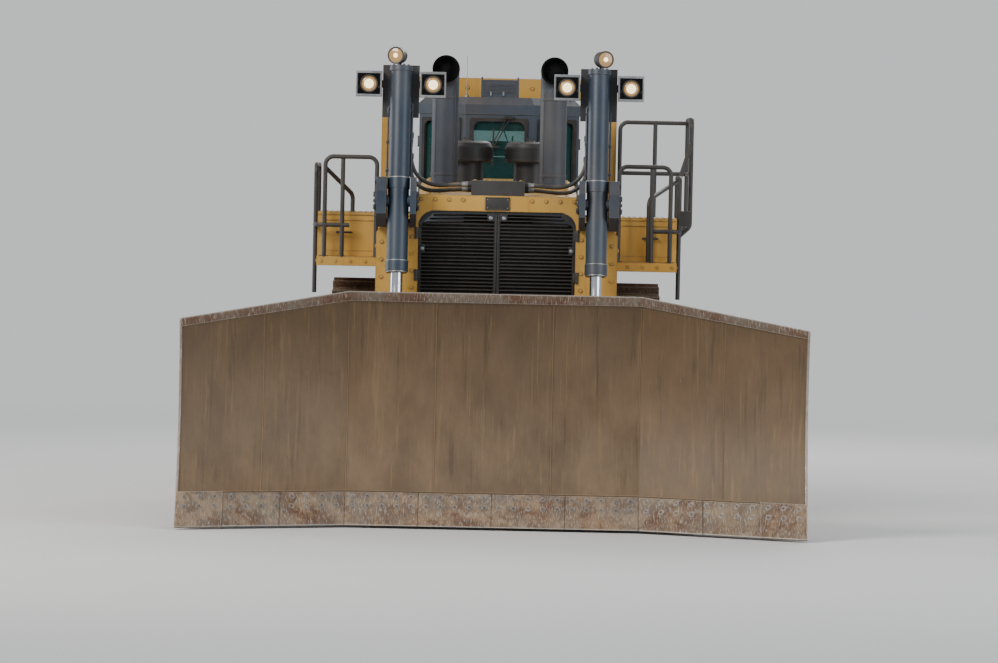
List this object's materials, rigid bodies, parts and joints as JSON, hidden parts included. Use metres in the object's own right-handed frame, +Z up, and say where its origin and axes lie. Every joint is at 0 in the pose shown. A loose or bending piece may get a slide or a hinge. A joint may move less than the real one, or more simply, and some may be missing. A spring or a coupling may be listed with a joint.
{
  "type": "crawler dozer",
  "caption": "Large crawler dozer with raised drive sprockets, a U-shaped blade on push arms, a cab with roll-over frame and a single-shank ripper.",
  "frame": {"origin": "on the ground under the middle of the whole machine's box", "axes": "+Z up, -Y forwards towards the blade, +X towards the machine's left"},
  "size_m": [6.358, 10.529, 4.9348],
  "materials": {
    "yellow_paint": "worn satin enamel",
    "black_paint": "satin enamel",
    "cylinder_paint": "satin enamel, dusty",
    "bare_steel": "ground, oiled",
    "track_steel": "worn and dusty",
    "blade_steel": "paint worn to bare steel",
    "window_glass": "tinted, clear",
    "seat_fabric": "woven",
    "cab_plastic": "moulded",
    "lamp_metal": "satin",
    "exhaust_metal": "heat-dulled",
    "hose_rubber": "braided hose, dusty"
  },
  "bodies": {
    "root": {"track_left": "track_steel", "track_right": "track_steel", "sprockets": "track_steel", "idlers": "track_steel", "track_rollers": "track_steel", "track_frame_left": "yellow_paint", "track_frame_right": "yellow_paint", "final_drives": "yellow_paint", "main_frame": "yellow_paint", "rear_case": "yellow_paint", "equalizer_bar": "yellow_paint", "engine_block": "black_paint", "radiator_guard": "yellow_paint", "radiator_core": "black_paint", "grille_panels": "black_paint", "hood": "yellow_paint", "hood_doors": "yellow_paint", "hose_cover": "black_paint", "exhaust_stacks": "exhaust_metal", "precleaners": "black_paint", "lift_yokes": "cylinder_paint", "cab_platform": "black_paint", "cab_shell": "cylinder_paint", "cab_glass": "window_glass", "cab_roof": "cylinder_paint", "seat": "seat_fabric", "cab_consoles": "cab_plastic", "rops_frame": "yellow_paint", "deck_left": "yellow_paint", "deck_right": "yellow_paint", "fuel_tank": "yellow_paint", "guard_rails_left": "black_paint", "guard_rails_right": "black_paint", "rear_lamps": "lamp_metal", "hose_left_upper": "hose_rubber", "hose_left_lower": "hose_rubber", "hose_right_upper": "hose_rubber", "hose_right_lower": "hose_rubber"},
    "push_arms": {"push_arm_left": "yellow_paint", "push_arm_right": "yellow_paint"},
    "blade": {"blade_body": "blade_steel", "cutting_edge": "bare_steel"},
    "lift_barrels": {"lift_barrels": "cylinder_paint", "cylinder_lamps": "lamp_metal"},
    "lift_rods": {"lift_rods": "bare_steel"},
    "tilt_barrels": {"tilt_barrels": "cylinder_paint"},
    "tilt_rods": {"tilt_rods": "bare_steel"},
    "ripper_arms": {"ripper_arms": "yellow_paint"},
    "ripper": {"ripper_beam": "yellow_paint", "ripper_shank": "track_steel"},
    "ripper_top_links": {"ripper_top_links": "cylinder_paint"},
    "hoist_barrels": {"hoist_barrels": "cylinder_paint"},
    "hoist_rods": {"hoist_rods": "bare_steel"},
    "cab_door_left": {"cab_door_left": "cylinder_paint", "door_glass_left": "window_glass"},
    "cab_door_right": {"cab_door_right": "cylinder_paint", "door_glass_right": "window_glass"}
  },
  "joints": [
    {"name": "blade_lift", "type": "hinge", "parent": "root", "child": "push_arms", "pos_m": [0, 0.63551, 0.8], "axis": [-1, 0, 0], "range_deg": [-9, 17.5]},
    {"name": "blade_pitch", "type": "hinge", "parent": "push_arms", "child": "blade", "pos_m": [0, -3.51449, 0.56], "axis": [-1, 0, 0], "range_deg": [-5, 5]},
    {"name": "lift_barrel_swing", "type": "hinge", "parent": "root", "child": "lift_barrels", "pos_m": [0, -2.94449, 3.33], "axis": [-1, 0, 0], "range_deg": [-1, 2]},
    {"name": "lift_rod_slide", "type": "slide", "parent": "lift_barrels", "child": "lift_rods", "axis": [0, -0.1651, -0.9863], "range_m": [-1.21, 0.625]},
    {"name": "tilt_barrel_swing", "type": "hinge", "parent": "push_arms", "child": "tilt_barrels", "pos_m": [0, -1.96449, 1.18], "axis": [-1, 0, 0], "range_deg": [-2, 2]},
    {"name": "tilt_rod_slide", "type": "slide", "parent": "tilt_barrels", "child": "tilt_rods", "axis": [0, -0.9578, 0.2873], "range_m": [-0.095, 0.095]},
    {"name": "ripper_lift", "type": "hinge", "parent": "root", "child": "ripper_arms", "pos_m": [0, 3.18551, 1.15], "axis": [1, 0, 0], "range_deg": [-34, 34]},
    {"name": "ripper_level", "type": "hinge", "parent": "ripper_arms", "child": "ripper", "pos_m": [0, 4.93449, 1.09], "axis": [1, 0, 0], "range_deg": [-35, 35]},
    {"name": "ripper_top_link_swing", "type": "hinge", "parent": "root", "child": "ripper_top_links", "pos_m": [0, 3.18551, 1.9], "axis": [1, 0, 0], "range_deg": [-35, 35]},
    {"name": "hoist_barrel_swing", "type": "hinge", "parent": "root", "child": "hoist_barrels", "pos_m": [0, 3.04551, 1.96], "axis": [1, 0, 0], "range_deg": [-15, 15]},
    {"name": "hoist_rod_slide", "type": "slide", "parent": "hoist_barrels", "child": "hoist_rods", "axis": [0, 0.6727, -0.7399], "range_m": [-0.265, 0.265]},
    {"name": "cab_door_left_swing", "type": "hinge", "parent": "root", "child": "cab_door_left", "pos_m": [0.904, 1.99551, 3.4], "axis": [0, 0, 1], "range_deg": [0, 90]},
    {"name": "cab_door_right_swing", "type": "hinge", "parent": "root", "child": "cab_door_right", "pos_m": [-0.904, 1.99551, 3.4], "axis": [0, 0, -1], "range_deg": [0, 90]}
  ],
  "couplings": [
    {"joint": "lift_barrel_swing", "follows": "blade_lift", "ratio": 0.09},
    {"joint": "lift_rod_slide", "follows": "blade_lift", "m_per_rad": -3.919},
    {"joint": "tilt_barrel_swing", "follows": "blade_pitch", "ratio": 0.345},
    {"joint": "tilt_rod_slide", "follows": "blade_pitch", "m_per_rad": -1.0428},
    {"joint": "ripper_level", "follows": "ripper_lift", "ratio": -1},
    {"joint": "ripper_top_link_swing", "follows": "ripper_lift", "ratio": 1},
    {"joint": "hoist_barrel_swing", "follows": "ripper_lift", "ratio": 0.42},
    {"joint": "hoist_rod_slide", "follows": "ripper_lift", "m_per_rad": -0.43545}
  ]
}
